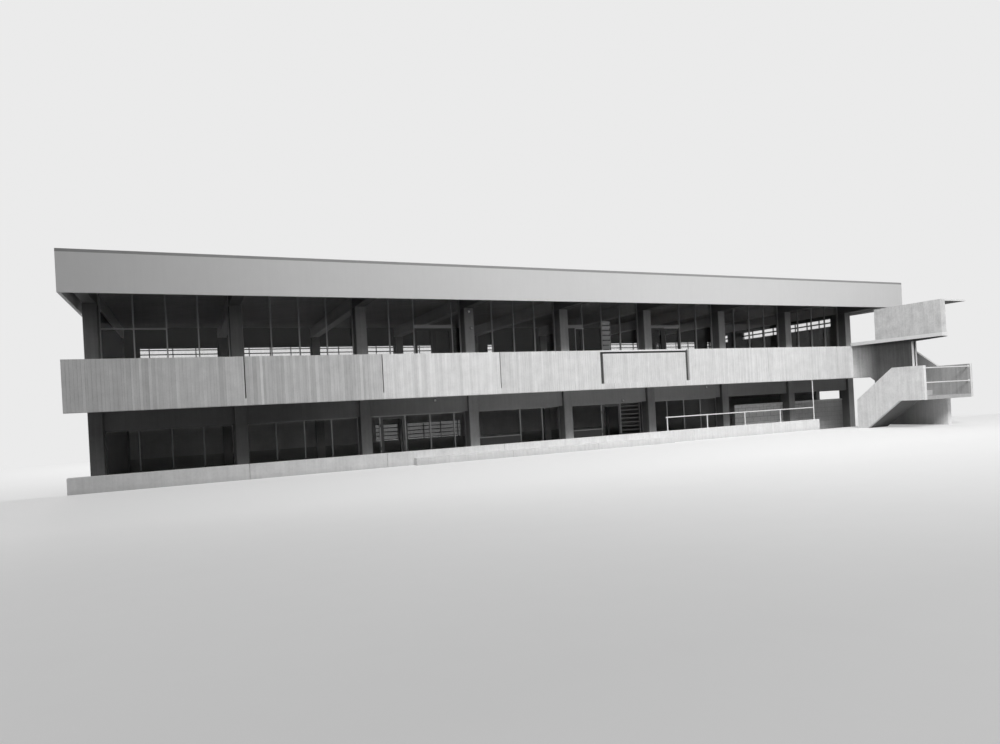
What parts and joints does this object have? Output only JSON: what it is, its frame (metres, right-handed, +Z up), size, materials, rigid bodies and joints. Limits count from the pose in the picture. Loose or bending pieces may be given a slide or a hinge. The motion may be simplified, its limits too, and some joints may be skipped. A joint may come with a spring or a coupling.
{
  "type": "two-storey school building",
  "caption": "Long two-storey school building with an open upper gallery, a flat roof behind a deep fascia and an outside concrete stair under a hood.",
  "frame": {"origin": "middle of the footprint, on the ground at the lower floor's underside", "axes": "+X along the long front to its right, +Y from the front to the rear, +Z up"},
  "size_m": [30.4, 16.9, 6.78],
  "materials": {
    "frame_concrete": "grey off-form concrete",
    "board_marked_concrete": "pale concrete with upright board marks",
    "roofing": "weathered roofing",
    "fascia_metal": "satin grey paint",
    "capping_metal": "dark paint",
    "window_frame": "satin mill finish",
    "door_frame": "satin mill finish",
    "window_glass": "clear sheet glass",
    "wall_masonry": "fair-faced block, painted",
    "rail_metal": "white gloss paint on steel tube"
  },
  "bodies": {
    "building": {"ground_floor_slab": "frame_concrete", "upper_floor_slab": "frame_concrete", "front_columns": "frame_concrete", "rear_columns": "frame_concrete", "front_floor_beams": "frame_concrete", "rear_floor_beams": "frame_concrete", "cross_floor_beams": "frame_concrete", "roof_beams": "frame_concrete", "gallery_edge_beam": "board_marked_concrete", "balustrade_panels": "board_marked_concrete", "recessed_panel": "board_marked_concrete", "gallery_end_panels": "board_marked_concrete", "stair_lower_flight": "board_marked_concrete", "stair_upper_flight": "board_marked_concrete", "half_landing": "board_marked_concrete", "stair_left_wall": "board_marked_concrete", "stair_right_wall": "board_marked_concrete", "stair_spine_wall": "board_marked_concrete", "stair_support_wall": "board_marked_concrete", "hood_slab": "board_marked_concrete", "hood_panel": "board_marked_concrete", "hood_roof": "board_marked_concrete", "area_wall": "board_marked_concrete", "area_plinth": "board_marked_concrete", "roof_deck": "roofing", "front_fascia": "fascia_metal", "rear_fascia": "fascia_metal", "side_fascias": "fascia_metal", "roof_capping": "capping_metal", "upper_front_frames": "window_frame", "lower_front_frames": "window_frame", "rear_window_frames": "window_frame", "clerestory_frame": "window_frame", "upper_doors": "door_frame", "lower_door_hinges": "door_frame", "upper_front_glass": "window_glass", "lower_front_glass": "window_glass", "rear_window_glass": "window_glass", "clerestory_glass": "window_glass", "rear_walls": "wall_masonry", "left_end_wall": "wall_masonry", "right_end_wall": "wall_masonry", "undercroft_side_wall": "wall_masonry", "undercroft_screen": "wall_masonry", "area_handrail": "rail_metal", "landing_railing": "rail_metal"},
    "door_1": {"lower_door_1": "door_frame", "lower_door_1_glass": "window_glass"},
    "door_2": {"lower_door_2": "door_frame", "lower_door_2_glass": "window_glass"}
  },
  "joints": [
    {"name": "door_1_hinge", "type": "hinge", "parent": "building", "child": "door_1", "pos_m": [-6.8395, -1.51, 0.156], "axis": [0, 0, -1], "range_deg": [0, 95]},
    {"name": "door_2_hinge", "type": "hinge", "parent": "building", "child": "door_2", "pos_m": [1.6655, -1.51, 0.156], "axis": [0, 0, -1], "range_deg": [0, 95]}
  ]
}
